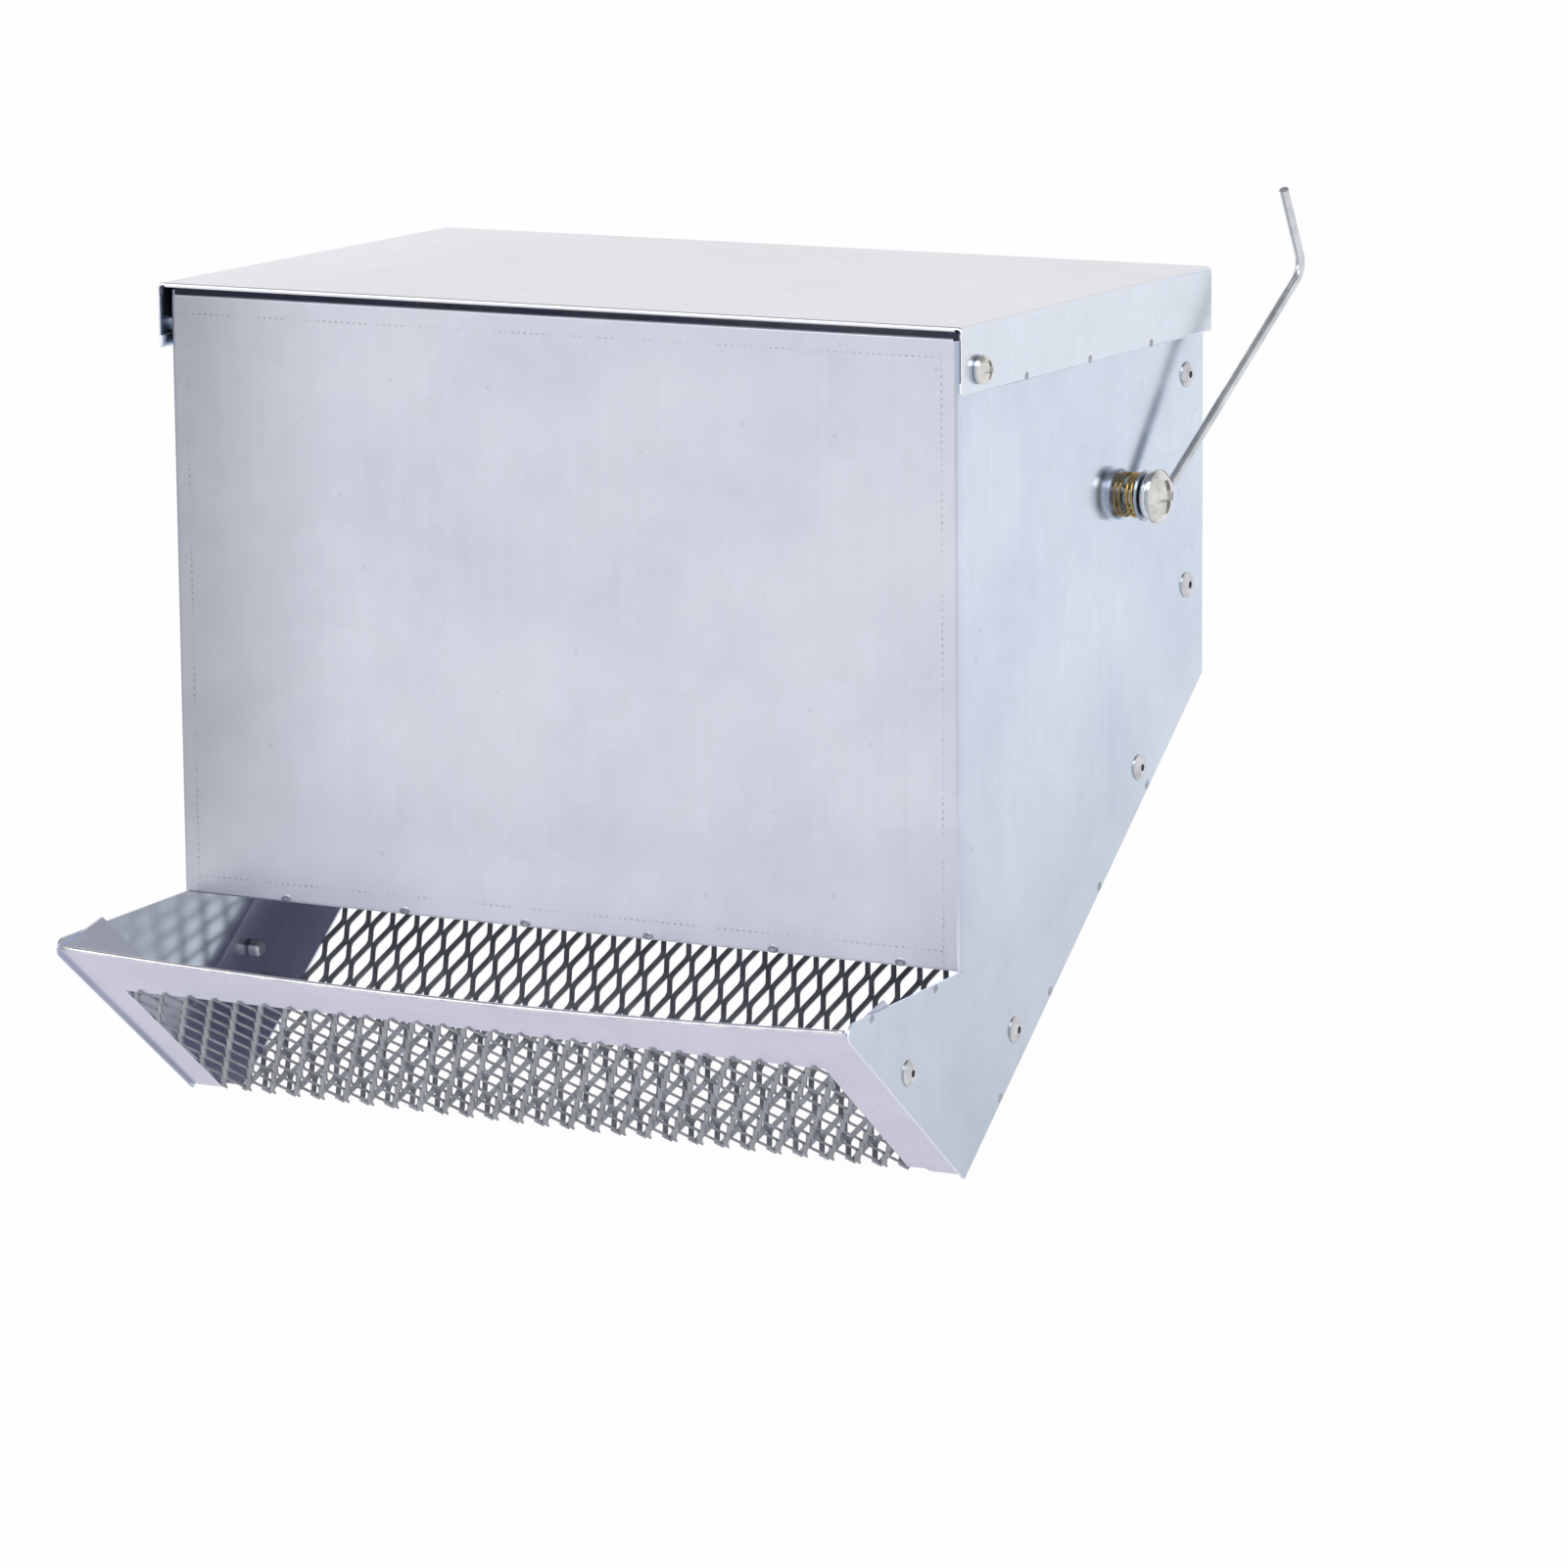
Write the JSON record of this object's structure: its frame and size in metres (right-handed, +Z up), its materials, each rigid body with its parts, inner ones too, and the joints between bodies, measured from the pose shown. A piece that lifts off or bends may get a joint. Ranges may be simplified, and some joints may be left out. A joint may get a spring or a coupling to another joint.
{
  "type": "rabbit feeder",
  "caption": "Sheet-metal cage feeder with a pellet hopper, hinged lid, open trough, expanded-mesh sifter bottom and spring-held wire hooks.",
  "frame": {"origin": "centre of the front panel's outer face, which lies against the cage", "axes": "-Y out of the front panel towards the cage, +Y back through the hopper, +Z up, +X across"},
  "size_m": [0.2454, 0.2191, 0.2202],
  "materials": {
    "galvanised_sheet": "satin zinc-galvanised",
    "zinc_plated_steel": "bright zinc-plated",
    "aluminium_rivet": "satin",
    "yellow_zinc_spring": "yellow zinc-plated",
    "bright_wire": "bright drawn wire"
  },
  "bodies": {
    "hopper": {"bail_inner_washer": "zinc_plated_steel", "bail_nut": "zinc_plated_steel", "bail_screw": "zinc_plated_steel", "bail_spring": "yellow_zinc_spring", "bail_washer": "zinc_plated_steel", "front_sifter_net": "galvanised_sheet", "hook_inner_washer_left": "zinc_plated_steel", "hook_inner_washer_right": "zinc_plated_steel", "hook_nut_left": "zinc_plated_steel", "hook_nut_right": "zinc_plated_steel", "hook_screw_left": "zinc_plated_steel", "hook_screw_right": "zinc_plated_steel", "hook_spring_left": "yellow_zinc_spring", "hook_spring_right": "yellow_zinc_spring", "hook_washer_left": "zinc_plated_steel", "hook_washer_right": "zinc_plated_steel", "hopper_shell": "galvanised_sheet", "lid_nut_left": "zinc_plated_steel", "lid_nut_right": "zinc_plated_steel", "lid_screw_left": "zinc_plated_steel", "lid_screw_right": "zinc_plated_steel", "lid_washer_left": "zinc_plated_steel", "lid_washer_right": "zinc_plated_steel", "rear_panel": "galvanised_sheet", "rear_sifter_net": "galvanised_sheet", "rivets_left": "aluminium_rivet", "rivets_right": "aluminium_rivet", "trough_pan": "galvanised_sheet"},
    "lid": {"lid": "galvanised_sheet"},
    "hook_left": {"hook_left": "bright_wire"},
    "hook_right": {"hook_right": "bright_wire"},
    "rear_bail": {"rear_bail": "bright_wire"}
  },
  "joints": [
    {"name": "lid_hinge", "type": "hinge", "parent": "hopper", "child": "lid", "pos_m": [0, 0.0063, 0.0668], "axis": [1, 0, 0], "range_deg": [0, 105]},
    {"name": "hook_left_turn", "type": "hinge", "parent": "hopper", "child": "hook_left", "pos_m": [-0.11325, 0.0925, 0.026], "axis": [1, 0, 0], "continuous": true},
    {"name": "hook_right_turn", "type": "hinge", "parent": "hopper", "child": "hook_right", "pos_m": [0.11325, 0.0925, 0.026], "axis": [1, 0, 0], "continuous": true},
    {"name": "rear_bail_turn", "type": "hinge", "parent": "hopper", "child": "rear_bail", "pos_m": [0.059, 0.13825, -0.0135], "axis": [0, 1, 0], "range_deg": [-200, 100]}
  ]
}
